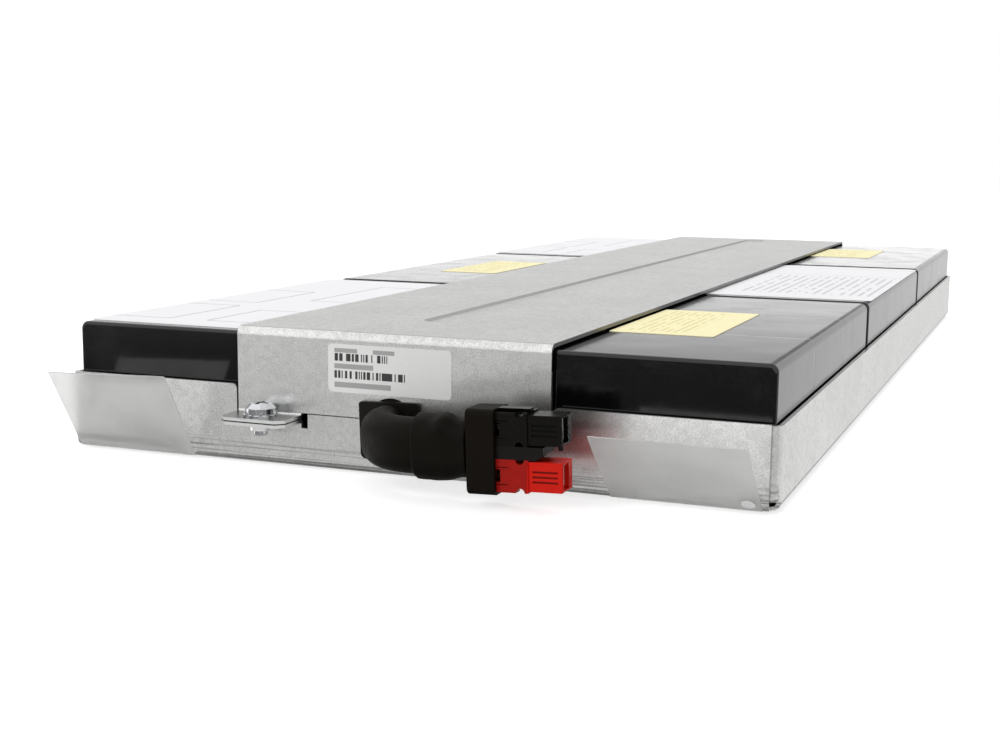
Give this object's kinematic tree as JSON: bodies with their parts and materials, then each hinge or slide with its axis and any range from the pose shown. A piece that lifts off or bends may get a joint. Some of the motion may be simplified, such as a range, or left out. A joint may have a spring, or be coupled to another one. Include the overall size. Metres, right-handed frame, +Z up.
{
  "type": "ups battery cartridge",
  "caption": "Flat rack battery cartridge: open steel tray with two rows of slim sealed blocks, a folded centre cover and a short front lead with stacked power connectors.",
  "frame": {"origin": "middle of the tray's flat underside", "axes": "+X to the right seen from the front, +Y from the front wall to the rear, +Z up"},
  "size_m": [0.2, 0.4918, 0.0367],
  "materials": {
    "steel": "galvanised sheet steel, fine spangle",
    "case_plastic": "black moulded ABS, polished",
    "lid_plastic": "black moulded ABS",
    "terminal_metal": "tin-plated brass",
    "foam": "black closed-cell foam, adhesive backed",
    "wire_black": "PVC insulation",
    "wire_red": "PVC insulation",
    "moulded_black": "moulded nylon",
    "shrink_tube": "heat-shrink polyolefin",
    "boot_rubber": "matt shrink boot",
    "housing_black": "moulded polycarbonate",
    "housing_red": "moulded polycarbonate",
    "contact_metal": "silver-plated copper",
    "zinc_steel": "bright zinc plating",
    "film": "frosted clear polyester film"
  },
  "bodies": {
    "root": {"case_left_front": "case_plastic", "case_left_middle": "case_plastic", "case_left_rear": "case_plastic", "case_right_front": "case_plastic", "case_right_middle": "case_plastic", "case_right_rear": "case_plastic", "connector_boot": "boot_rubber", "connector_housing_black": "housing_black", "connector_housing_red": "housing_red", "connector_key": "moulded_black", "contact_black": "contact_metal", "contact_red": "contact_metal", "cover": "steel", "cover_strip_left": "foam", "cover_strip_right": "foam", "exit_grommet": "moulded_black", "film_tab_left": "film", "film_tab_right": "film", "fixing_screw": "zinc_steel", "joint_pad_left_1": "foam", "joint_pad_left_2": "foam", "joint_pad_right_1": "foam", "joint_pad_right_2": "foam", "jumper_1": "wire_black", "jumper_2": "wire_black", "jumper_3": "wire_black", "jumper_4": "wire_black", "jumper_5": "wire_black", "lead_elbow": "shrink_tube", "lead_sleeve": "shrink_tube", "lid_left_front": "lid_plastic", "lid_left_middle": "lid_plastic", "lid_left_rear": "lid_plastic", "lid_right_front": "lid_plastic", "lid_right_middle": "lid_plastic", "lid_right_rear": "lid_plastic", "main_lead_negative": "wire_black", "main_lead_positive": "wire_red", "rear_pad_left": "foam", "rear_pad_right": "foam", "stop_post": "moulded_black", "terminal_lower_left_front": "terminal_metal", "terminal_lower_left_middle": "terminal_metal", "terminal_lower_left_rear": "terminal_metal", "terminal_lower_right_front": "terminal_metal", "terminal_lower_right_middle": "terminal_metal", "terminal_lower_right_rear": "terminal_metal", "terminal_upper_left_front": "terminal_metal", "terminal_upper_left_middle": "terminal_metal", "terminal_upper_left_rear": "terminal_metal", "terminal_upper_right_front": "terminal_metal", "terminal_upper_right_middle": "terminal_metal", "terminal_upper_right_rear": "terminal_metal", "toothed_washer": "zinc_steel", "tray": "steel"}
  },
  "joints": []
}
